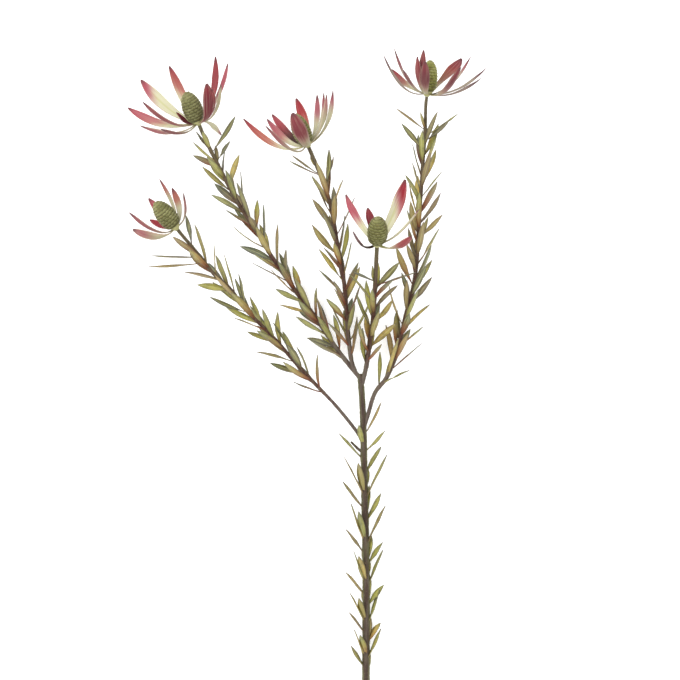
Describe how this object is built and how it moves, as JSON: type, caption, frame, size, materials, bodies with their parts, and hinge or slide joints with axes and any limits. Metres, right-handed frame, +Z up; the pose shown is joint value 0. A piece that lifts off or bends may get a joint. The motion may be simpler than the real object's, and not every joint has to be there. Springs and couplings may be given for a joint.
{
  "type": "leucadendron",
  "caption": "Cut stem of leucadendron lying on its side: a leafy woody stem that branches into slender leafy sprays, each ending in a whorl of crimson and cream bracts round a scaly green cone.",
  "frame": {"origin": "under the middle of the whole stem's box, on the surface it lies on", "axes": "+Y along the stem from its cut end to its blooms, +Z up from the surface it lies on, +X to the right seen from above"},
  "size_m": [0.3946, 0.7148, 0.104],
  "materials": {
    "stem": "matt purple-brown bark, grey-green in places",
    "leaf": "olive to yellow-green, satin",
    "bract": "crimson to cream, satin",
    "cone": "olive green, satin"
  },
  "bodies": {
    "root": {"bracts_left_high": "bract", "cone_left_high": "cone", "bracts_left_low": "bract", "cone_left_low": "cone", "bracts_middle": "bract", "cone_middle": "cone", "bracts_front": "bract", "cone_front": "cone", "bracts_right": "bract", "cone_right": "cone", "main_stem": "stem", "branch_left_low": "leaf", "branch_left_high": "leaf", "branch_middle": "leaf", "branch_front": "leaf", "branch_right": "leaf"}
  },
  "joints": []
}
